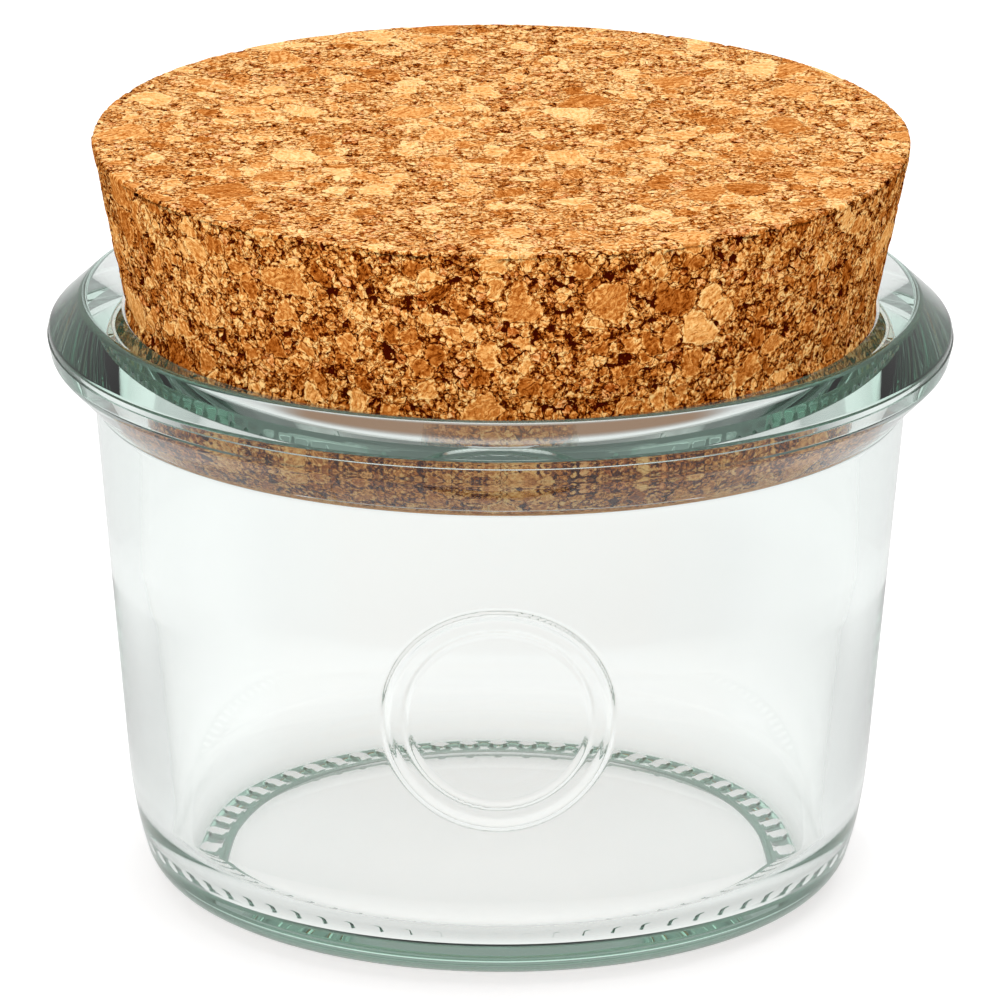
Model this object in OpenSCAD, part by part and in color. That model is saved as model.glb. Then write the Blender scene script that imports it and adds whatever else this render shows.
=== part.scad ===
// Glass storage jar with a tapered cork stopper.
// The jar stands on z = 0 and its axis is Z. The raised ring on the wall faces -Y.

/* [Jar body] */
// Height of the jar from the table to the top of its rim
jar_h = 59.6; // [52:0.1:90]
// Outer diameter of the body where it meets the rim
shoulder_d = 79.8; // [76:0.1:83]
// Outer diameter of the body where the straight wall ends above the heel
foot_d = 73.4; // [70:0.1:78]
// Height at which the straight wall ends
foot_h = 12.3; // [10:0.1:16]
// Radius of the slow inward curve between the wall and the heel
bow_r = 42; // [36:1:60]
// Radius of the rounded heel
heel_r = 4.6; // [3:0.1:6]
// Thickness of the wall where it ends above the heel, measured level
wall_t = 4; // [3:0.1:5]
// Thickness of the wall where its inside bends upright, measured level
mid_t = 3.8; // [3:0.1:4.4]
// Height of that bend
mid_h = 33; // [26:0.5:40]
// Radius of that bend
mid_r = 50; // [10:1:60]
// Thickness of the floor, measured from the stippled ring up
floor_t = 2.8; // [2.2:0.1:5]
// Rise of the floor from its edge to the middle
floor_rise = 0.4; // [0.1:0.1:1]
// Inner radius between the wall and the floor
floor_r = 6; // [3:0.1:8]

/* [Rim] */
// Outer diameter of the rim
rim_d = 89; // [88:0.1:94]
// Height of the rim from the shoulder corner to its top
rim_h = 9.8; // [9:0.1:11]
// Angle at which the underside of the rim climbs outwards
rim_under_deg = 46; // [40:1:50]
// Radius in the corner between the body and the rim's underside
shoulder_r = 1.5; // [0.5:0.1:2]
// Radius of the rim's lower outer edge
rim_under_r = 1.3; // [0.5:0.1:1.8]
// Distance by which that edge stands inside the rim's widest line
face_lean = 0.35; // [0.1:0.05:0.8]
// Depth of the mould's parting line below the top of the rim
parting_drop = 3.7; // [3.5:0.1:4.2]
// Width of the ledge at the parting line
parting_step = 0.12; // [0.05:0.01:0.2]
// Level width of the sloping surface above the parting line
chamfer_w = 3.3; // [2.6:0.1:3.4]
// Angle at which that surface falls outwards
chamfer_deg = 43; // [38:1:46]
// Radius of the edge between it and the parting line
rim_top_r = 0.6; // [0.2:0.1:0.8]
// Radius of the rim's crest
crest_r = 1; // [0.5:0.1:1.5]

/* [Mouth] */
// Diameter of the mouth at its upper edge
mouth_d = 73.8; // [70:0.1:75]
// Angle at which the rim's top falls inwards from the crest to that edge
lip_deg = 17.2; // [10:0.1:20]
// Radius of that edge
lip_r = 0.5; // [0.3:0.1:1]
// Depth below that edge at which the neck's taper ends and the seat begins
seat_drop = 4.7; // [3.5:0.1:6]
// Width by which the seat narrows the neck
seat_w = 1.15; // [0.6:0.05:1.3]
// Angle of the seat from upright
seat_deg = 25; // [20:1:35]
// Radius of the seat's two edges
seat_r = 0.4; // [0.1:0.1:0.8]

/* [Foot ring] */
// Number of raised pads that the jar stands on
pad_count = 60; // [40:1:72]
// Radial length of a pad
pad_l = 2.6; // [2:0.1:3]
// Width of a pad
pad_w = 1.5; // [1:0.1:1.8]
// Height of a pad
pad_h = 0.4; // [0.2:0.1:0.8]
// Distance from the start of the heel's curve in to the middle of the pads
pad_in = 1.15; // [-0.2:0.05:3]
// Height of the hollow under the base above the stippled ring
hollow_h = 0.8; // [0.3:0.1:1.5]
// Width of the sloping edge of that hollow
hollow_slope = 1.4; // [0.5:0.1:3]

/* [Raised ring on the wall] */
// Diameter of the outer ring, to the middle of its bead
badge_d = 22; // [12:0.5:24]
// Width of the outer bead
badge_w = 0.9; // [0.5:0.1:1.5]
// Height of the outer bead above the wall
badge_proud = 0.35; // [0.1:0.05:0.8]
// Space between the outer and the inner bead, middle to middle
badge_gap = 2; // [1.5:0.1:4]
// Width of the inner bead
badge_inner_w = 0.5; // [0.3:0.1:1]
// Height of the middle of the rings above the table
badge_z = 28.6; // [28:0.1:32]

/* [Cork stopper] */
// Half angle of the taper of the stopper and of the neck
cork_taper = 11.4; // [4:0.1:12]
// Height of the stopper
cork_h = 24.35; // [18:0.05:40]
// Depth to which the stopper goes into the mouth
cork_in = 7; // [5:0.05:8]
// Gap between the stopper and the neck, measured level
seat_gap = 0.25; // [0.15:0.05:0.5]
// Radius of the stopper's lower edges
cork_low_r = 0.4; // [0.2:0.1:0.8]
// Radius of the stopper's upper edge
cork_top_r = 0.4; // [0.2:0.1:1.5]

/* [Hidden] */
$fn = 96;
// Degrees of turn that one straight stretch of a rounded corner stands for
turn_step = 9;
// Depth to which a raised detail is rooted in the glass
root = 0.3;

// Heights of the floor's underside, of the floor, of the rim's corner and of the parting line
ring_z = pad_h;
floor_z = ring_z + floor_t;
shoulder_z = jar_h - rim_h;
parting_z = jar_h - parting_drop;

// Outer radius of the rim, the corner of its crest and the height of the mouth's edge
rim_r = rim_d / 2;
crest_c = rim_r - parting_step - chamfer_w;
crest_half = 90 - (chamfer_deg + lip_deg) / 2;
crest_z = jar_h + crest_r * (cos((chamfer_deg - lip_deg) / 2) / sin(crest_half) - 1);
mouth_z = crest_z - (crest_c - mouth_d / 2) * tan(lip_deg);
seat_z = mouth_z - seat_drop;

// The body's straight outer wall, its slope and its radius at a height
wall_slope = (shoulder_d - foot_d) / 2 / (shoulder_z - foot_h);
function wall_out(z) = foot_d / 2 + wall_slope * (z - foot_h);

// Below the wall a slow curve turns it inwards, until the heel takes over
bow_c = [foot_d / 2 - bow_r * cos(atan(wall_slope)), foot_h + bow_r * sin(atan(wall_slope))];
heel_deg = asin((bow_c[1] - ring_z - heel_r) / (bow_r - heel_r));
heel_c = bow_c + (bow_r - heel_r) * [cos(heel_deg), -sin(heel_deg)];

// Radius of the neck's taper and of the stopper's side at a height; the side keeps clear of the seat
neck_slope = tan(cork_taper);
function neck(z) = mouth_d / 2 + neck_slope * (z - mouth_z);
function cork_side(z) = neck(max(z, seat_z)) - max(seat_z - z, 0) * tan(seat_deg) - seat_gap;
cork_low_z = mouth_z - cork_in;
cork_top_z = cork_low_z + cork_h;

// Points along an arc round c, from angle a to angle b
function arc(c, r, a, b) =
    let (n = max(1, ceil(abs(b - a) / turn_step)))
    [for (i = [0:n]) let (t = a + (b - a) * i / n) c + r * [cos(t), sin(t)]];

// Points of the rounded corner p between its neighbours, with radius p[2]
function unit(v) = v / norm(v);
function flat(p) = [p[0], p[1]];
function corner(before, p, after) =
    let (
        u = unit(flat(before) - flat(p)),
        v = unit(flat(after) - flat(p)),
        half = acos(u * v) / 2,
        c = flat(p) + p[2] / sin(half) * unit(u + v),
        from = flat(p) + p[2] / tan(half) * u - c,
        to = flat(p) + p[2] / tan(half) * v - c,
        a = atan2(from[1], from[0]),
        turn = atan2(to[1], to[0]) - a
    )
    arc(c, p[2], a, a + (turn > 180 ? turn - 360 : turn < -180 ? turn + 360 : turn));

// A chain of corners with its first and last point left sharp
function rounded(pts) = [
    for (i = [0:len(pts) - 1])
        for (q = i == 0 || i == len(pts) - 1 || pts[i][2] == 0
                ? [flat(pts[i])]
                : corner(pts[i - 1], pts[i], pts[i + 1])) q
];

// Underside of the base, from the axis out to the start of the heel
pad_r = heel_c[0] - pad_in;
hollow_r = pad_r - pad_l / 2 - hollow_slope;
under_base = [
    [0, ring_z + hollow_h + floor_rise],
    [hollow_r, ring_z + hollow_h],
    [hollow_r + hollow_slope, ring_z]
];

// Heel and slow curve up to the straight wall
heel = concat(
    arc(heel_c, heel_r, -90, -heel_deg),
    arc(bow_c, bow_r, -heel_deg, -atan(wall_slope))
);

// Rim, from the shoulder round its outer edge to the seat
face_r = rim_r - face_lean;
face_z = shoulder_z + (face_r - wall_out(shoulder_z)) * tan(rim_under_deg);
rim = rounded([
    [wall_out(foot_h), foot_h, 0],
    [wall_out(shoulder_z), shoulder_z, shoulder_r],
    [face_r, face_z, rim_under_r],
    [rim_r, parting_z, 0],
    [rim_r - parting_step, parting_z, 0],
    [rim_r - parting_step, crest_z - chamfer_w * tan(chamfer_deg), rim_top_r],
    [crest_c, crest_z, crest_r],
    [mouth_d / 2, mouth_z, lip_r],
    [neck(seat_z), seat_z, 0]
]);

// Inside of the jar, from the seat down to the middle of the floor
foot_in_r = foot_d / 2 - wall_t;
mid_in_r = wall_out(mid_h) - mid_t;
inner_slope = (mid_in_r - foot_in_r) / (mid_h - foot_h);
inside = rounded([
    [mouth_d / 2, mouth_z, 0],
    [neck(seat_z), seat_z, seat_r],
    [neck(seat_z) - seat_w, seat_z - seat_w / tan(seat_deg), seat_r],
    [mid_in_r, mid_h, mid_r],
    [foot_in_r - inner_slope * (foot_h - floor_z), floor_z, floor_r],
    [0, floor_z + floor_rise, 0]
]);

function tail(pts) = [for (i = [1:len(pts) - 1]) pts[i]];
function head(pts) = [for (i = [0:len(pts) - 2]) pts[i]];

module glass_body() {
    rotate_extrude() polygon(concat(under_base, heel, tail(head(rim)), tail(inside)));
}

// One pad of the foot ring, long along the radius, with round ends
module pad() {
    translate([pad_r, 0, 0])
        linear_extrude(pad_h + root) {
            square([pad_l - pad_w, pad_w], center = true);
            for (side = [-1, 1]) translate([side * (pad_l - pad_w) / 2, 0]) circle(d = pad_w);
        }
}

module foot_ring() {
    for (i = [0:pad_count - 1]) rotate(i * 360 / pad_count) pad();
}

// A bead round a circle that follows the wall, seen from -Y
module wall_bead(d, w, proud) {
    low = badge_z - d / 2 - w;
    high = badge_z + d / 2 + w;
    intersection() {
        rotate_extrude() polygon([
            [wall_out(low) - root, low],
            [wall_out(low) + proud, low],
            [wall_out(high) + proud, high],
            [wall_out(high) - root, high]
        ]);
        translate([0, 0, badge_z]) rotate([90, 0, 0]) linear_extrude(rim_r)
            difference() {
                circle(d = d + w);
                circle(d = d - w);
            }
    }
}

module glass_jar() {
    color([0.82, 0.93, 0.88, 0.5]) {
        glass_body();
        foot_ring();
        wall_bead(badge_d, badge_w, badge_proud);
        wall_bead(badge_d - 2 * badge_gap, badge_inner_w, badge_proud / 2);
    }
}

module cork_lid() {
    color([0.76, 0.53, 0.31])
        rotate_extrude() polygon(rounded([
            [0, cork_low_z, 0],
            [cork_side(cork_low_z), cork_low_z, cork_low_r],
            [cork_side(seat_z), max(seat_z, cork_low_z), cork_low_r],
            [cork_side(cork_top_z), cork_top_z, cork_top_r],
            [0, cork_top_z, 0]
        ]));
}

glass_jar();
cork_lid();
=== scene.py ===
# %% [markdown]
# # A glass storage jar with a cork stopper
#
# The real object is two pieces. The jar is pressed in a mould from slightly green glass, and the
# stopper is turned from a block of cork grains that are glued together. This lesson dresses both.
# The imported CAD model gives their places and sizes. It could be dressed as it is, but glass shows
# every facet that it is made of, and cork lives from its broken grain. So each piece gets a finer
# surface of its own, worked out from the same sizes in millimetres and written in metres.

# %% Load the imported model
import math

import bpy
import numpy as np
from mathutils import Matrix, Vector


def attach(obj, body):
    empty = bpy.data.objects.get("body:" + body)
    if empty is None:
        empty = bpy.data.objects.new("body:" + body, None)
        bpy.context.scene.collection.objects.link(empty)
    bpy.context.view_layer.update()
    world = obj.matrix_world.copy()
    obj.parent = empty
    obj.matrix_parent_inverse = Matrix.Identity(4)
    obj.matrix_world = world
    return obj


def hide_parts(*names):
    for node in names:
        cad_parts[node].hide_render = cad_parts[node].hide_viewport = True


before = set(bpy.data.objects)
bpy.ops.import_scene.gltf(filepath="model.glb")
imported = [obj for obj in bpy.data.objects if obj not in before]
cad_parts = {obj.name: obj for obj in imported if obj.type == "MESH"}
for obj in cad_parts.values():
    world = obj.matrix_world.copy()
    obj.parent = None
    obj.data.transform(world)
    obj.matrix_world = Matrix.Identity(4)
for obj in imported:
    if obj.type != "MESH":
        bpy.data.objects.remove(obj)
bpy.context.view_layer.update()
MM = 0.001

# %% [markdown]
# ## Profiles
#
# Both pieces are turned shapes: a profile of radius and height, carried round the axis. A profile
# could be drawn by hand as a curve, but worked out from named sizes it stays exact: straight lines
# between corners, and an arc in each corner. Light on glass runs along these arcs as bright lines, so
# each arc gets a short first and last step. Smooth shading then bends only inside the arc, and the
# flats beside it stay flat.

# %% Chains of lines and arcs


def unit(vector):
    """The vector divided by its length."""
    return vector / np.linalg.norm(vector)


def arc(centre, radius, start, end, step=6.0):
    """centre + radius * (cos t, sin t), with t going from start to end in degrees."""
    count = max(2, int(np.ceil(abs(end - start) / step)) + 1)
    turn = np.radians(np.linspace(start, end, count))
    return np.asarray(centre) + radius * np.stack([np.cos(turn), np.sin(turn)], axis=1)


def rounded(corners, step=11.0, first_step=1.5):
    """A chain of straight lines through (r, z, radius) rows, with an arc at each inner corner.

    The arc's middle is corner + radius / sin(half) * bisector, where half is half the angle between
    the two lines, and the arc touches them at radius / tan(half) from the corner.
    """
    corners = np.asarray(corners, float)
    parts = [corners[:1, :2]]
    for before, here, after in zip(corners[:-2], corners[1:-1], corners[2:]):
        point, radius = here[:2], here[2]
        u, v = unit(before[:2] - point), unit(after[:2] - point)
        half = np.arccos(np.clip(u @ v, -1, 1)) / 2
        middle = point + radius / np.sin(half) * unit(u + v)
        first, last = (point + radius / np.tan(half) * w - middle for w in (u, v))
        start = np.degrees(np.arctan2(first[1], first[0]))
        turn = np.degrees(np.arctan2(last[1], last[0])) - start
        turn = (turn + 180) % 360 - 180
        ease = math.copysign(min(first_step, abs(turn) / 6), turn)
        parts.append(arc(middle, radius, start, start + ease, 90))
        parts.append(arc(middle, radius, start + ease, start + turn - ease, step)[1:])
        parts.append(arc(middle, radius, start + turn - ease, start + turn, 90)[1:])
    parts.append(corners[-1:, :2])
    return np.concatenate(parts)


def stepped(points, longest):
    """The same chain with points added evenly, so that no stretch is longer than longest."""
    gaps = np.linalg.norm(np.diff(points, axis=0), axis=1)
    marks = np.concatenate([[0], np.cumsum(np.maximum(1, np.ceil(gaps / longest)).astype(int))])
    index = np.arange(marks[-1] + 1)
    return np.stack([np.interp(index, marks, points[:, k]) for k in (0, 1)], axis=1)


# %% [markdown]
# ## The jar's sizes
#
# The wall leans out to the rim. Below, a slow curve and a heel turn it under the base. The rim is a
# broad bead: its underside climbs outwards from the shoulder, its face carries the line where two
# parts of the mould meet, and a chamfer leads up to the crest. Inside the mouth a short taper and a
# seat hold the stopper. These are the sizes of the CAD model.

# %% Sizes of the jar
jar_h, rim_d, rim_h = 59.6, 89.0, 9.8
shoulder_d, foot_d, foot_h = 79.8, 73.4, 12.3
bow_r, heel_r = 42.0, 4.6
wall_t, mid_t, mid_h, mid_r = 4.0, 3.8, 33.0, 50.0
floor_t, floor_rise, floor_r = 2.8, 0.4, 6.0
rim_under_deg, face_lean, chamfer_w, chamfer_deg = 46.0, 0.35, 3.3, 43.0
shoulder_r, rim_under_r, rim_top_r, crest_r = 1.5, 1.3, 0.6, 1.0
parting_drop, parting_step = 3.7, 0.12
mouth_d, lip_deg, lip_r = 73.8, 17.2, 0.5
seat_drop, seat_w, seat_deg, seat_r = 4.7, 1.15, 25.0, 0.4
pad_count, pad_l, pad_w, pad_h, pad_in = 60, 2.6, 1.5, 0.4, 1.15
hollow_h, hollow_slope = 0.8, 1.4
cork_taper, cork_h, cork_in, seat_gap, neck_gap = 11.4, 24.35, 7.0, 0.25, 0.03
cork_low_r, cork_top_r = 0.4, 0.4


def rise(degrees):
    """Slope of a line at this angle."""
    return math.tan(math.radians(degrees))


floor_z = pad_h + floor_t
shoulder_z = jar_h - rim_h
parting_z = jar_h - parting_drop
wall_slope = (shoulder_d - foot_d) / 2 / (shoulder_z - foot_h)
lean = math.degrees(math.atan(wall_slope))


def wall_out(z):
    """Radius of the outer wall at height z."""
    return foot_d / 2 + wall_slope * (z - foot_h)


# %% Crest, mouth and seat
# The skin stays this much inside the solid's widest line.
skin_in = 0.02
rim_r = rim_d / 2 - skin_in
crest_c = rim_d / 2 - parting_step - chamfer_w
crest_half = math.radians(90 - (chamfer_deg + lip_deg) / 2)
crest_z = jar_h + crest_r * (math.cos(math.radians((chamfer_deg - lip_deg) / 2)) / math.sin(crest_half) - 1)
mouth_z = crest_z - (crest_c - mouth_d / 2) * rise(lip_deg)
seat_z = mouth_z - seat_drop


def neck(z):
    """Radius of the neck at height z: the mouth narrows downwards with the stopper's taper."""
    return mouth_d / 2 + rise(cork_taper) * (z - mouth_z)


print(f"wall leans {lean:.2f} deg, mouth's edge at {mouth_z:.2f} mm, seat from {seat_z:.2f} mm down")

# %% Slow curve and heel
# The slow curve touches the wall at foot_h. The heel's circle touches both it and the table ring's plane.
bow_c = np.array([foot_d / 2 - bow_r * math.cos(math.radians(lean)), foot_h + bow_r * math.sin(math.radians(lean))])
heel_deg = math.degrees(math.asin((bow_c[1] - pad_h - heel_r) / (bow_r - heel_r)))
heel_c = bow_c + (bow_r - heel_r) * np.array([math.cos(math.radians(heel_deg)), -math.sin(math.radians(heel_deg))])
pad_r = heel_c[0] - pad_in
print(f"heel's middle at radius {heel_c[0]:.2f}, height {heel_c[1]:.2f} mm; pads on radius {pad_r:.2f} mm")

# %% Profile of the jar, from the axis under the base round to the axis on the floor
hollow_r = pad_r - pad_l / 2 - hollow_slope
pads_from, pad_step = pad_r - pad_l / 2 - 0.4, 0.24
under = rounded(
    [
        [0, pad_h + hollow_h + floor_rise, 0],
        [hollow_r, pad_h + hollow_h, 1.2],
        [hollow_r + hollow_slope, pad_h, 0.6],
        [heel_c[0], pad_h, 0],
    ],
    15,
)
under = stepped(under[under[:, 0] < pads_from - 0.05], 6.0)
under = np.concatenate([under, [[r, pad_h] for r in np.arange(pads_from, heel_c[0] - 0.1, pad_step)]])
heel = np.concatenate([arc(heel_c, heel_r, -90, -81, 3), arc(heel_c, heel_r, -81, -heel_deg, 6.5)[1:]])
bow = arc(bow_c, bow_r, -heel_deg, -lean, 2.6)[1:]

# %% The wall, with a band of even rows that will carry the raised rings
window_low, window_high, window_rows = 16.6, 40.6, 8
wall_top = 47.5
wall_z = np.append(np.linspace(window_low, window_high, window_rows + 1), 44.0)
wall = np.stack([wall_out(wall_z), wall_z], axis=1)

# %% Rim and inside
face_r = rim_r - face_lean
foot_in_r = foot_d / 2 - wall_t
mid_in_r = wall_out(mid_h) - mid_t
inner_slope = (mid_in_r - foot_in_r) / (mid_h - foot_h)
rim_and_inside = rounded(
    [
        [wall_out(wall_top), wall_top, 0],
        [wall_out(shoulder_z), shoulder_z, shoulder_r],
        [face_r, shoulder_z + (face_r - wall_out(shoulder_z)) * rise(rim_under_deg), rim_under_r],
        [rim_r, parting_z, 0.05],
        [rim_r - parting_step, parting_z + 0.04, 0.05],
        [rim_r - parting_step, crest_z - chamfer_w * rise(chamfer_deg), rim_top_r],
        [crest_c, crest_z, crest_r],
        [mouth_d / 2, mouth_z, lip_r],
        [neck(seat_z), seat_z, seat_r],
        [neck(seat_z) - seat_w, seat_z - seat_w / rise(seat_deg), seat_r],
        [mid_in_r, mid_h, mid_r],
        [foot_in_r - inner_slope * (foot_h - floor_z), floor_z, floor_r],
        [0, floor_z + floor_rise, 0],
    ]
)
jar_profile = np.concatenate([under, heel, bow, wall, stepped(rim_and_inside, 6.0)])
print("jar profile:", len(jar_profile), "points")

# %% [markdown]
# ## The jar's skin
#
# The profile is carried round the axis. Under the base the mould leaves a ring of small pads. They
# could be separate pieces, but on the real jar they are the same glass, so the skin itself is pressed
# down to the table there. On the front of the wall sit two raised rings. A net fine enough for them
# would be wasted on the rest, so only a window of the wall gets it, and both nets share their corners.

# %% Pads and rings as functions
columns = 600
badge_d, badge_w, badge_proud, badge_z = 22.0, 0.9, 0.35, 28.6
badge_gap, badge_inner_w = 2.0, 0.5


def smooth(low, high, value):
    """0 below low, 1 above high, and 3 t^2 - 2 t^3 between."""
    t = np.clip((value - low) / (high - low), 0, 1)
    return t * t * (3 - 2 * t)


def pad_shape(r, angle):
    """1 on a pad and 0 beside it. A pad is a short radial bar with round ends: the set of points
    whose distance from the bar's middle line is under half its width."""
    pitch = 2 * np.pi / pad_count
    off = (angle + pitch / 2) % pitch - pitch / 2
    along = np.maximum(np.abs(r * np.cos(off) - pad_r) - (pad_l - pad_w) / 2, 0)
    away = np.hypot(along, r * np.sin(off))
    return 1 - smooth(0.30 * pad_w, 0.62 * pad_w, away)


def ring_shape(distance, width):
    """Cross-section of a bead, a cosine hill as wide as width."""
    t = np.clip(np.abs(distance) / (0.62 * width), 0, 1)
    return 0.5 * (1 + np.cos(np.pi * t))


def badge_shape(x, z):
    """Height of the raised rings over the wall at a point seen from the front."""
    away = np.hypot(x, z - badge_z)
    outer = badge_proud * ring_shape(away - badge_d / 2, badge_w)
    inner = 0.5 * badge_proud * ring_shape(away - badge_d / 2 + badge_gap, badge_inner_w)
    return np.maximum(outer, inner)


# %% Nets of numbered points


def quads(net, wrap=False):
    """Quads between neighbouring rows and columns of a net; with wrap, the last column joins the first."""
    left = net if wrap else net[:, :-1]
    right = np.roll(net, -1, axis=1) if wrap else net[:, 1:]
    return np.stack([left[:-1], right[:-1], right[1:], left[1:]], axis=2)


def turned_net():
    """Points x = r cos a, y = r sin a, z over the profile's rows and the columns of a.

    Under the base, z is pulled down to 0 by the pads' shape.
    """
    r, z = jar_profile[1:-1, 0][:, None], jar_profile[1:-1, 1][:, None]
    angle = 2 * np.pi * np.arange(columns)[None, :] / columns - np.pi / 2
    under_side = np.arange(len(r))[:, None] < len(under) + len(heel)
    high = z * (1 - np.where(under_side, pad_shape(r, angle + np.pi / 2), 0))
    points = np.stack([r * np.cos(angle), r * np.sin(angle), high + 0 * angle], axis=2).reshape(-1, 3)
    return points, np.arange(len(points)).reshape(len(r), columns)


def window_net(half, fine_r, fine_c):
    """Points of the wall from -half to half columns round -Y, with the rings' height added along the
    wall's normal (cos lean, -sin lean) in radius and height."""
    z = np.linspace(window_low, window_high, window_rows * fine_r + 1)[:, None]
    a = np.radians(np.linspace(-half, half, 2 * half * fine_c + 1) * 360 / columns)[None, :]
    proud = badge_shape(wall_out(z) * a, z)
    r = wall_out(z) + proud * math.cos(math.radians(lean))
    high = z - proud * math.sin(math.radians(lean)) + 0 * a
    return np.stack([r * np.sin(a), -r * np.cos(a), high], axis=2)


# %% Both nets joined


def jar_skin(half=34, fine_r=12, fine_c=2):
    """The turned net with its window replaced by the fine one. The faces round the window have two
    corners on the coarse side and fine_r + 1 or fine_c + 1 on the fine side."""
    points, number = turned_net()
    fine = window_net(half, fine_r, fine_c)
    row0 = int(np.argmax(np.isclose(jar_profile[1:-1, 1], window_low)))
    row1 = row0 + window_rows
    across = np.arange(-half, half + 1) % columns
    fine_number = len(points) + np.arange(fine.shape[0] * fine.shape[1]).reshape(fine.shape[:2])
    fine_number[::fine_r, 0] = number[row0:row1 + 1, across[0]]
    fine_number[::fine_r, -1] = number[row0:row1 + 1, across[-1]]
    fine_number[0, ::fine_c] = number[row0, across]
    fine_number[-1, ::fine_c] = number[row1, across]

    coarse = quads(number, wrap=True)
    keep = np.ones(coarse.shape[:2], bool)
    keep[row0 - 1:row1 + 1, across[:-1]] = False
    left, right = across[0] - 1, across[-1]
    keep[row0:row1, [left, right]] = False
    sets = [coarse[keep], quads(fine_number).reshape(-1, 4)]

    i = np.arange(2 * half)
    sets.append(np.stack([number[row0 - 1, across[:-1]], number[row0 - 1, across[1:]]]
                         + [fine_number[0, (i + 1) * fine_c - k] for k in range(fine_c + 1)], axis=1))
    sets.append(np.stack([fine_number[-1, i * fine_c + k] for k in range(fine_c + 1)]
                         + [number[row1 + 1, across[1:]], number[row1 + 1, across[:-1]]], axis=1))
    i = np.arange(window_rows)
    sets.append(np.stack([number[row0 + 1 + i, left], number[row0 + i, left]]
                         + [fine_number[i * fine_r + k, 0] for k in range(fine_r + 1)], axis=1))
    sets.append(np.stack([number[row0 + i, right + 1], number[row0 + 1 + i, right + 1]]
                         + [fine_number[(i + 1) * fine_r - k, -1] for k in range(fine_r + 1)], axis=1))

    poles = [[0, 0, jar_profile[0, 1]], [0, 0, jar_profile[-1, 1]]]
    points = np.concatenate([points, fine.reshape(-1, 3), poles])
    ahead = np.roll(number, -1, axis=1)
    sets.append(np.stack([number[0] * 0 + len(points) - 2, ahead[0], number[0]], axis=1))
    sets.append(np.stack([number[-1] * 0 + len(points) - 1, number[-1], ahead[-1]], axis=1))
    used = np.zeros(len(points), bool)
    used[np.concatenate([one.ravel() for one in sets])] = True
    new = np.cumsum(used) - 1
    return points[used], [new[one] for one in sets]


# %% A mesh from arrays


def new_piece(name, points_mm, face_sets, body, replaced, material):
    """Makes a smooth piece out of points in mm and lists of faces, and puts it in a CAD node's place."""
    mesh = bpy.data.meshes.new(name)
    faces = [face for one_set in face_sets for face in one_set.tolist()]
    mesh.from_pydata((points_mm * MM).tolist(), [], faces)
    mesh.validate()
    mesh.shade_smooth()
    mesh.materials.append(material)
    piece = bpy.data.objects.new(name, mesh)
    bpy.context.scene.collection.objects.link(piece)
    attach(piece, body)
    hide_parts(replaced)
    triangles = sum(len(face) - 2 for face in faces)
    print(f"{name}: {len(points_mm)} points, {triangles} triangles")
    return piece


# %% [markdown]
# ## Materials
#
# Materials are trees of nodes. They can be clicked together in the editor, but written in code they can
# be used twice: the cork's recipe below presses the mesh as well as it colours it.

# %% Node helpers


def add(tree, kind, feeds=(), **settings):
    """Adds a node. A feed that is a socket is linked, and any other value is written in."""
    node = tree.nodes.new(kind)
    for key, value in settings.items():
        setattr(node, key, value)
    for key, value in dict(feeds).items():
        if isinstance(value, bpy.types.NodeSocket):
            tree.links.new(value, node.inputs[key])
        else:
            node.inputs[key].default_value = value
    return node


def calc(tree, operation, *values, clamp=False):
    """A Math node's result."""
    return add(tree, "ShaderNodeMath", enumerate(values), operation=operation, use_clamp=clamp).outputs[0]


def vector(tree, operation, *values, out="Vector"):
    """A Vector Math node's result; a plain number is written as its scale."""
    feeds = {"Scale" if isinstance(value, (int, float)) else key: value for key, value in enumerate(values)}
    return add(tree, "ShaderNodeVectorMath", feeds, operation=operation).outputs[out]


def ramp(tree, value, low, high, to_low=0.0, to_high=1.0):
    """A smooth step of value from low to high."""
    feeds = {0: value, 1: low, 2: high, 3: to_low, 4: to_high}
    return add(tree, "ShaderNodeMapRange", feeds, interpolation_type="SMOOTHSTEP").outputs[0]


def blend(tree, factor, first, second, mode="MIX"):
    """Mixes two colours."""
    return add(tree, "ShaderNodeMix", {0: factor, 6: first, 7: second}, data_type="RGBA", blend_type=mode).outputs[2]


def choose(tree, factor, first, second):
    """Mixes two numbers."""
    return add(tree, "ShaderNodeMix", {0: factor, 2: first, 3: second}).outputs[0]


def new_material(name):
    """A material with an empty tree and its output node."""
    material = bpy.data.materials.new(name)
    material.use_nodes = True
    tree = material.node_tree
    tree.nodes.clear()
    return material, tree, tree.nodes.new("ShaderNodeOutputMaterial")


# %% [markdown]
# ## Glass
#
# Clear soda-lime glass holds a trace of iron, which swallows a little red and less blue. Through a wall
# nobody sees it, but light that runs a long way inside the rim or the heel comes out green. A green
# surface colour would tint thin and thick places alike. Volume Absorption works by the length of the
# path, as the real glass does. Its share lost per metre is (1 - Color) * Density.

# %% The glass
glass, tree, out = new_material("green_glass")
shader = add(
    tree,
    "ShaderNodeBsdfPrincipled",
    {"Base Color": (1, 1, 1, 1), "Roughness": 0.0, "IOR": 1.52, "Transmission Weight": 1.0},
)
tree.links.new(shader.outputs[0], out.inputs["Surface"])
tint = add(tree, "ShaderNodeVolumeAbsorption", {"Color": (0.44, 0.80, 0.645, 1), "Density": 13.0})
tree.links.new(tint.outputs[0], out.inputs["Volume"])

jar_points, jar_faces = jar_skin()
jar = new_piece("glass_jar_skin", jar_points, jar_faces, "jar", "glass_jar", glass)

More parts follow.
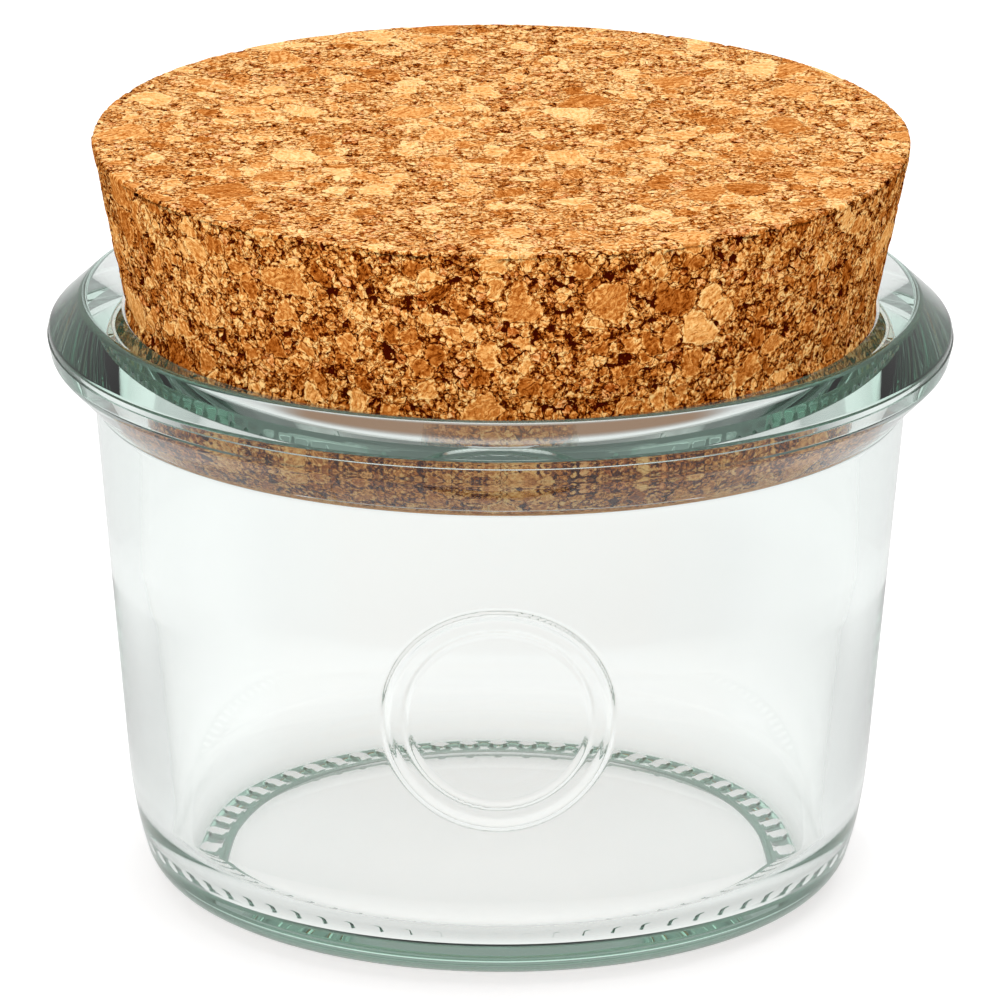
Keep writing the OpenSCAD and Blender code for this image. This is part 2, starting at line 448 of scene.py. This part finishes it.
# %% [markdown]
# ## Cork
#
# The stopper is a block of glued cork grains, cut to shape. A cut goes through grains of every size, so
# its face is a mosaic: big pieces, crumbs between them, dark gaps where crumbs fell out. Carving that
# by hand would take days. Cells of a Voronoi texture look like it at once, when cells of three sizes
# are nested, and a noise bends their edges. The same recipe is used twice. Geometry Nodes work it out
# on the points of the mesh, which are then pressed in by it, and the shader colours the cells with it.

# %% Cork grains, one recipe for the relief and the finish


def grains(tree, place):
    """Cells of bound cork, from a place in mm.

    A noise bends the place, then cells of three sizes are laid out there. A big cell stays whole or,
    by its own lot, is broken into middle ones, and these into small ones, of which some are missing.
    Returns the distance to the nearest edge between grains in mm, a random vector that is each grain's
    lot, the place measured from the grain's middle, and 1 where a crumb is missing. Between small cells
    the corners stay open too: those are the places that are farthest from every cell's middle.
    """
    bend = add(tree, "ShaderNodeTexNoise", {"Vector": place, "Scale": 0.6, "Detail": 3.0, "Roughness": 0.65})
    bend = vector(tree, "SCALE", vector(tree, "SUBTRACT", bend.outputs["Color"], (0.5, 0.5, 0.5)), 1.7)
    bent = vector(tree, "ADD", place, bend)
    scales = {"big": 0.26, "middle": 0.45, "small": 1.15}
    lot, middle, edge, corner = {}, {}, {}, {}
    for name, scale in scales.items():
        cell = add(tree, "ShaderNodeTexVoronoi", {"Vector": bent, "Scale": scale})
        gap = add(tree, "ShaderNodeTexVoronoi", {"Vector": bent, "Scale": scale}, feature="DISTANCE_TO_EDGE")
        lot[name], middle[name] = cell.outputs["Color"], cell.outputs["Position"]
        edge[name] = calc(tree, "DIVIDE", gap.outputs["Distance"], scale)
        corner[name] = ramp(tree, cell.outputs["Distance"], 0.73, 0.80)
    missing = calc(tree, "GREATER_THAN", add(tree, "ShaderNodeSeparateXYZ", {0: lot["small"]}).outputs["Z"], 0.985)
    missing = calc(tree, "MAXIMUM", missing, corner["small"])
    for name, smaller, whole in (("middle", "small", 0.38), ("big", "middle", 0.12)):
        broken = calc(tree, "GREATER_THAN", add(tree, "ShaderNodeSeparateXYZ", {0: lot[name]}).outputs["Y"], whole)
        missing = calc(tree, "MULTIPLY", missing, broken)
        edge[name] = choose(tree, broken, edge[name], calc(tree, "MINIMUM", edge[name], edge[smaller]))
        lot[name] = blend(tree, broken, lot[name], lot[smaller])
        middle[name] = blend(tree, broken, middle[name], middle[smaller])
    return edge["big"], lot["big"], vector(tree, "SUBTRACT", bent, middle["big"]), missing


def seam(tree, place, distance):
    """1 in the dark seams between grains and 0 on them. A slow noise sets how wide the seams gape."""
    gape = add(tree, "ShaderNodeTexNoise", {"Vector": place, "Scale": 1.5, "Detail": 2.0}).outputs[0]
    width = ramp(tree, gape, 0.42, 0.68, 0.03, 0.20)
    return ramp(tree, calc(tree, "DIVIDE", distance, width), 1.0, 0.3)


# %% [markdown]
# ## The stopper's surface
#
# The stopper is turned as well, but it is broad, and rows with the same number of columns would crowd
# in the middle of its ends. So a row gets half the columns of its outer neighbour where the faces get
# too narrow, and a row of five-sided faces joins the two without a seam.

# %% Shape of the stopper
cork_low_z = mouth_z - cork_in
cork_top_z = cork_low_z + cork_h


def cork_side(z):
    """Radius of the stopper's side at height z. It keeps clear of the neck and of the seat.

    Inside the neck the pressed cork swells and comes closer to the glass.
    """
    close = (seat_gap - neck_gap) * (1 - float(smooth(mouth_z, mouth_z + 1, z)))
    return neck(max(z, seat_z)) - max(seat_z - z, 0) * rise(seat_deg) - seat_gap + close


cork_profile = rounded(
    [
        [0, cork_low_z, 0],
        [cork_side(cork_low_z), cork_low_z, cork_low_r],
        [cork_side(seat_z), seat_z, cork_low_r],
        [cork_side(mouth_z), mouth_z, 1.0],
        [cork_side(mouth_z + 1), mouth_z + 1, 1.0],
        [cork_side(cork_top_z), cork_top_z, cork_top_r],
        [0, cork_top_z, 0],
    ],
    30,
)


def halving_skin(profile, most, face):
    """A turned surface whose rows have most / 2^k columns, halved where faces get narrower than face / 2."""
    r, z = profile[1:-1, 0], profile[1:-1, 1]
    level = np.clip(np.floor(np.log2(most * face / (2 * np.pi * np.maximum(r, face)))), 0, 6).astype(int)
    start, nets, points = 0, [], []
    for radius, height, k in zip(r, z, level):
        angle = 2 * np.pi * np.arange(most // 2**k) / (most // 2**k)
        points.append(np.stack([radius * np.cos(angle), radius * np.sin(angle), height + 0 * angle], axis=1))
        nets.append(start + np.arange(len(angle)))
        start += len(angle)
    points.append([[0, 0, profile[0, 1]], [0, 0, profile[-1, 1]]])
    sets = []
    for low, high in zip(nets[:-1], nets[1:]):
        if len(low) == len(high):
            sets.append(np.stack([low, np.roll(low, -1), np.roll(high, -1), high], axis=1))
        elif len(low) < len(high):
            sets.append(np.stack([low, np.roll(low, -1), np.roll(high[::2], -1), high[1::2], high[::2]], axis=1))
        else:
            sets.append(np.stack([low[::2], low[1::2], np.roll(low[::2], -1), np.roll(high, -1), high], axis=1))
    sets.append(np.stack([nets[0] * 0 + start, np.roll(nets[0], -1), nets[0]], axis=1))
    sets.append(np.stack([nets[-1] * 0 + start + 1, nets[-1], np.roll(nets[-1], -1)], axis=1))
    return np.concatenate(points), sets


# %% The smooth stopper
cork, cork_tree, cork_out = new_material("bound_cork")
cork_points, cork_faces = halving_skin(stepped(cork_profile, 0.46), 512, 0.46)
lid = new_piece("cork_stopper", cork_points, cork_faces, "lid", "cork_lid", cork)
lid.data.attributes.new("uncut", "FLOAT_VECTOR", "POINT").data.foreach_set("vector", (cork_points * MM).ravel())
normals = np.empty(len(cork_points) * 3, np.float32)
lid.data.vertex_normals.foreach_get("vector", normals)
normals = normals.reshape(-1, 3)
planed = smooth(0.6, 0.95, np.abs(normals[:, 2]))
lid.data.attributes.new("planed", "FLOAT", "POINT").data.foreach_set("value", planed)

# %% The grain worked out on its points
press = bpy.data.node_groups.new("cork_press", "GeometryNodeTree")
press.interface.new_socket("Geometry", in_out="INPUT", socket_type="NodeSocketGeometry")
press.interface.new_socket("Geometry", in_out="OUTPUT", socket_type="NodeSocketGeometry")
place = vector(press, "SCALE", add(press, "GeometryNodeInputPosition").outputs[0], 1 / MM)
distance, lot, from_middle, missing = grains(press, place)
slant = vector(press, "DOT_PRODUCT", from_middle, vector(press, "SUBTRACT", lot, (0.5, 0.5, 0.5)), out="Value")
steps = add(press, "ShaderNodeSeparateXYZ", {0: lot}).outputs["Z"]
kept = press.nodes.new("NodeGroupInput").outputs[0]
for name, value in (("missing", missing), ("slant", slant), ("step", steps)):
    kept = add(press, "GeometryNodeStoreNamedAttribute", {"Geometry": kept, "Name": name, "Value": value},
               data_type="FLOAT", domain="POINT").outputs[0]
press.links.new(kept, press.nodes.new("NodeGroupOutput").inputs[0])
lid.modifiers.new("cork_press", "NODES").node_group = press
worked = lid.evaluated_get(bpy.context.evaluated_depsgraph_get()).to_mesh()
relief = {}
for name in ("missing", "slant", "step"):
    relief[name] = np.empty(len(cork_points), np.float32)
    worked.attributes[name].data.foreach_get("value", relief[name])
lid.modifiers.clear()
print({name: f"{value.min():.2f} to {value.max():.2f}, mean {value.mean():.2f}" for name, value in relief.items()})

# %% The points pressed in
# Depth in mm = 0.45 where a crumb is missing, and lot * 0.12 + slant on the grains; a planed end keeps a
# third of it, and in the neck, where the glass presses the grains flat, a fifth stays. Nothing is pressed out, so the stopper stays inside its solid.
slanted = np.clip(0.05 + 0.22 * relief["slant"], 0, 0.25)
in_neck = 1 - smooth(mouth_z, mouth_z + 1, cork_points[:, 2])
depth = np.where(relief["missing"] > 0.5, 0.45, 0.12 * relief["step"] + slanted) * (1 - 0.67 * planed) * (1 - 0.8 * in_neck)
pressed = cork_points - normals * depth[:, None]
lid.data.vertices.foreach_set("co", (pressed * MM).ravel())
lid.data.update()
print(f"cork relief: {depth.mean():.3f} mm on average, {depth.max():.3f} mm at most")

# %% [markdown]
# ## The finish of the cork
#
# All cork grains have one family of colours, from the near black of a hole over red-brown and orange to
# the cream of a fresh cut. So the shader first works out one number, how light a spot is, and a colour
# ramp turns it into that family's colour. Each grain has its own lightness, fibres run through it in
# its own direction, its cut edges catch light, and the seams and the holes are dark. The sanded ends
# are lighter than the turned side.

# %% Lightness of a spot
tree = cork_tree
place = vector(tree, "SCALE", add(tree, "ShaderNodeAttribute", attribute_name="uncut").outputs["Vector"], 1 / MM)
top_face = add(tree, "ShaderNodeAttribute", attribute_name="planed").outputs["Fac"]
distance, lot, from_middle, missing = grains(tree, place)
gap = seam(tree, place, distance)
lots = add(tree, "ShaderNodeSeparateXYZ", {0: lot}).outputs
fibre_axis = vector(tree, "SUBTRACT", lot, (0.5, 0.5, 0.5))
fibre_place = add(tree, "ShaderNodeVectorRotate", {"Vector": from_middle, "Axis": fibre_axis, "Angle": 2.4}).outputs[0]
waves = add(tree, "ShaderNodeTexNoise", {"Vector": place, "Scale": 0.7, "Detail": 1.0}).outputs["Color"]
fibre_place = vector(tree, "MULTIPLY", vector(tree, "ADD", fibre_place, waves), (0.6, 0.6, 5.0))
streak = add(tree, "ShaderNodeTexNoise", {"Vector": fibre_place, "Scale": 1.0, "Detail": 3.0, "Roughness": 0.6}).outputs[0]
fleck = add(tree, "ShaderNodeTexNoise", {"Vector": place, "Scale": 2.6, "Detail": 2.0, "Roughness": 0.6}).outputs[0]
edge_light = calc(tree, "MULTIPLY", ramp(tree, distance, 0.34, 0.14), ramp(tree, fleck, 0.40, 0.56))
lightness = calc(tree, "MULTIPLY_ADD", lots["X"], 0.75, choose(tree, top_face, -1.37, -1.16))
for part, weight in ((streak, 2.0), (fleck, 1.3), (edge_light, 0.42), (gap, choose(tree, top_face, -0.60, -0.45)), (missing, choose(tree, top_face, -1.10, -0.60))):
    lightness = calc(tree, "MULTIPLY_ADD", part, weight, lightness)

# %% Colour, relief and gloss
cork_tones = {0.0: (0.050, 0.004, 0.0003), 0.25: (0.250, 0.060, 0.005), 0.5: (0.430, 0.138, 0.023),
              0.75: (0.600, 0.242, 0.060), 0.95: (0.790, 0.410, 0.140), 1.2: (0.930, 0.560, 0.235), 1.4: (1.0, 0.74, 0.38)}
tones = add(tree, "ShaderNodeValToRGB", {0: calc(tree, "DIVIDE", lightness, max(cork_tones))})
while len(tones.color_ramp.elements) < len(cork_tones):
    tones.color_ramp.elements.new(0.5)
for element, (position, tone) in zip(tones.color_ramp.elements, cork_tones.items()):
    element.position, element.color = position / max(cork_tones), (*tone, 1)
colour = tones.outputs[0]
warm = blend(tree, top_face, (1.0, 0.86, 0.66, 1), (1.0, 0.90, 0.80, 1))
colour = blend(tree, 1.0, colour, warm, "MULTIPLY")
reddish = ramp(tree, lots["Y"], 0.86, 0.90)
colour = blend(tree, calc(tree, "MULTIPLY", reddish, 0.8), colour, blend(tree, 1.0, colour, (0.95, 0.80, 0.85, 1), "MULTIPLY"))
height = calc(tree, "MULTIPLY", calc(tree, "MAXIMUM", gap, missing), -0.30)
height = calc(tree, "MULTIPLY_ADD", streak, 0.26, height)
height = calc(tree, "MULTIPLY_ADD", fleck, 0.22, height)
bump = add(tree, "ShaderNodeBump", {"Height": height, "Distance": 0.0007, "Strength": 0.9}).outputs[0]
shader = add(tree, "ShaderNodeBsdfPrincipled", {"Base Color": colour, "Roughness": 0.8, "Normal": bump})
shader.inputs["Specular IOR Level"].default_value = 0.0
tree.links.new(shader.outputs[0], cork_out.inputs["Surface"])

# %% [markdown]
# ## Studio
#
# The jar stands on white paper in a bright room. Glass has no look of its own: it shows the room. A
# room that is white all round would make it vanish. The real one is dark on the camera's side, and
# that is what draws the dark lines in the rim, so this world darkens there too. The floor and the
# backdrop are plain white to the camera, and the floor keeps a soft shadow. The floor also carries
# painted light and shade. It glows most under the jar and, to the camera, a little more just outside
# its foot, which lifts the shade there. A ray mirrored in the glass sees the floor darker, darkest in
# front of the jar, as painted shade that stands for the dark side of the room.

# %% Floor
floor_mesh = bpy.data.meshes.new("studio_floor")
reach, floor_low = 3.0, -5e-5
floor_mesh.from_pydata([(-reach, -reach, floor_low), (reach, -reach, floor_low), (reach, reach, floor_low),
                        (-reach, reach, floor_low)], [], [(0, 1, 2, 3)])
floor = bpy.data.objects.new("studio_floor", floor_mesh)
bpy.context.scene.collection.objects.link(floor)
paper, tree, out = new_material("white_paper")
path = add(tree, "ShaderNodeLightPath").outputs
seen = calc(tree, "MAXIMUM", path["Is Camera Ray"], calc(tree, "MAXIMUM", path["Is Glossy Ray"], path["Is Transmission Ray"]))
mirrored = calc(tree, "MULTIPLY", seen, calc(tree, "MINIMUM", path["Glossy Depth"], 1.0))
spot = add(tree, "ShaderNodeTexCoord").outputs["Object"]
far = vector(tree, "LENGTH", spot, out="Value")
back = calc(tree, "DIVIDE", add(tree, "ShaderNodeSeparateXYZ", {0: spot}).outputs["Y"], far)
# Painted shade: a ray that was mirrored inside the glass sees the paper darker, by how often it bounced, how deep it
# went and where it lands; this stands for the dark side of the room.
piped = ramp(tree, path["Glossy Depth"], 1.0, 2.0, 1.0, 0.20)
deep = choose(tree, ramp(tree, path["Transmission Depth"], 3.0, 4.0), piped, 0.72)
room = ramp(tree, far, 0.06, 0.10, calc(tree, "MULTIPLY", deep, ramp(tree, far, 0.034, 0.042, 1.0, 0.80)), ramp(tree, back, -0.1, 0.6, 0.30, 0.92))
# Painted shade: in front of the jar, the mirrored paper turns into a dim brown patch.
painted_dark_front = calc(tree, "MULTIPLY", ramp(tree, back, -0.30, -0.60), ramp(tree, far, 0.055, 0.075))
room = choose(tree, painted_dark_front, room, 0.08)
room = choose(tree, calc(tree, "MINIMUM", path["Transmission Depth"], 1.0), 0.80, room)
strength = choose(tree, mirrored, 1.0, room)
# Painted light: the paper glows most under the jar and less farther out, which lifts the jar's shade there; to the
# camera it glows a little more just outside the foot, so only a narrow shadow stays.
glow = calc(tree, "ADD", ramp(tree, far, 0.024, 0.036, 0.92, 0.42), ramp(tree, far, 0.036, 0.10, 0.0, -0.26))
close_by = calc(tree, "MULTIPLY", path["Is Camera Ray"], ramp(tree, far, 0.0372, 0.0425, 0.0, 0.26))
glow = calc(tree, "ADD", glow, close_by)
matt = add(tree, "ShaderNodeBsdfDiffuse", {"Color": (0.70, 0.70, 0.70, 1)})
glow = add(tree, "ShaderNodeEmission", {"Color": (1, 1, 1, 1), "Strength": calc(tree, "MULTIPLY", seen, glow)})
lit = add(tree, "ShaderNodeAddShader", {0: matt.outputs[0], 1: glow.outputs[0]})
night = add(tree, "ShaderNodeEmission", {"Color": (0.30, 0.15, 0.07, 1), "Strength": painted_dark_front})
paper_out = add(tree, "ShaderNodeMixShader", {0: strength, 1: night.outputs[0], 2: lit.outputs[0]})
tree.links.new(paper_out.outputs[0], out.inputs["Surface"])
floor_mesh.materials.append(paper)

# %% World
world = bpy.data.worlds.new("studio")
bpy.context.scene.world = world
world.use_nodes = True
tree = world.node_tree
tree.nodes.clear()
path = add(tree, "ShaderNodeLightPath").outputs
direction = add(tree, "ShaderNodeTexCoord").outputs["Generated"]
sides = add(tree, "ShaderNodeSeparateXYZ", {0: direction}).outputs
lit_room = ramp(tree, sides["Y"], -0.90, -0.20, 0.72, 0.90)
mirror_room = ramp(tree, sides["Y"], -0.50, 0.30, 0.16, 0.38)
mirror_room = choose(tree, calc(tree, "MINIMUM", path["Transmission Depth"], 1.0), 0.60, mirror_room)
mirrored = calc(tree, "MINIMUM", path["Glossy Depth"], 1.0)
level = choose(tree, mirrored, 1.05, mirror_room)
level = choose(tree, path["Is Diffuse Ray"], level, lit_room)
level = choose(tree, path["Is Camera Ray"], level, 1.0)
sky = add(tree, "ShaderNodeBackground", {"Color": (1, 1, 1, 1), "Strength": level})
out = tree.nodes.new("ShaderNodeOutputWorld")
tree.links.new(sky.outputs[0], out.inputs["Surface"])

# %% [markdown]
# One broad soft box hangs over the jar, a little to the left. It is so large that its shadow has no
# edge, as under the tent of thin cloth that such glass is photographed in.

# %% Lamp


def lamp(name, where, size, power):
    """A square soft box that looks at the jar."""
    data = bpy.data.lights.new(name, "AREA")
    data.size, data.energy = size, power
    made = bpy.data.objects.new(name, data)
    bpy.context.scene.collection.objects.link(made)
    made.location = where
    made.visible_glossy = made.visible_transmission = False
    made.rotation_euler = (Vector((0, 0, 0.045)) - Vector(where)).to_track_quat("-Z", "Y").to_euler()
    return made


lamp("soft_box", (0.12, 0.1, 1.3), 1.6, 9.0)
lamp("front_box", (-0.30, -1.1, 0.5), 0.8, 6.5)

# %% [markdown]
# ## Camera
#
# The picture was taken from a little over a metre away with a long lens, from 18 degrees above the
# table. The camera looks at the middle of the object and is turned by its roll about its own axis.
# The shift moves the picture by the few pixels by which the object stood off the middle.

# %% Camera
camera_distance, camera_deg, camera_roll = 1.1, 18.41, 0.3
focal_px, picture_px, sensor_mm = 11137, 1000, 36.0
target_z = 0.03535
target_x_px, target_y_px = 499.4, 528.1
camera_data = bpy.data.cameras.new("camera")
camera = bpy.data.objects.new("camera", camera_data)
bpy.context.scene.collection.objects.link(camera)
climb = math.radians(camera_deg)
camera.location = (0, -camera_distance * math.cos(climb), target_z + camera_distance * math.sin(climb))
turn = Matrix.Rotation(math.pi / 2 - climb, 3, "X") @ Matrix.Rotation(math.radians(camera_roll), 3, "Z")
camera.rotation_euler = turn.to_euler()
camera_data.sensor_width = sensor_mm
camera_data.lens = focal_px / picture_px * sensor_mm
camera_data.shift_x = (picture_px / 2 - target_x_px) / picture_px
camera_data.shift_y = (target_y_px - picture_px / 2) / picture_px
camera_data.clip_start, camera_data.clip_end = 0.05, 20
bpy.context.scene.camera = camera

# %% Light paths and view
# Light in the rim bounces many times before it gets out, and a path that is cut short comes out black.
scene = bpy.context.scene
scene.view_settings.view_transform = "Standard"
scene.cycles.max_bounces = 32
scene.cycles.transmission_bounces = 32
scene.cycles.glossy_bounces = 24
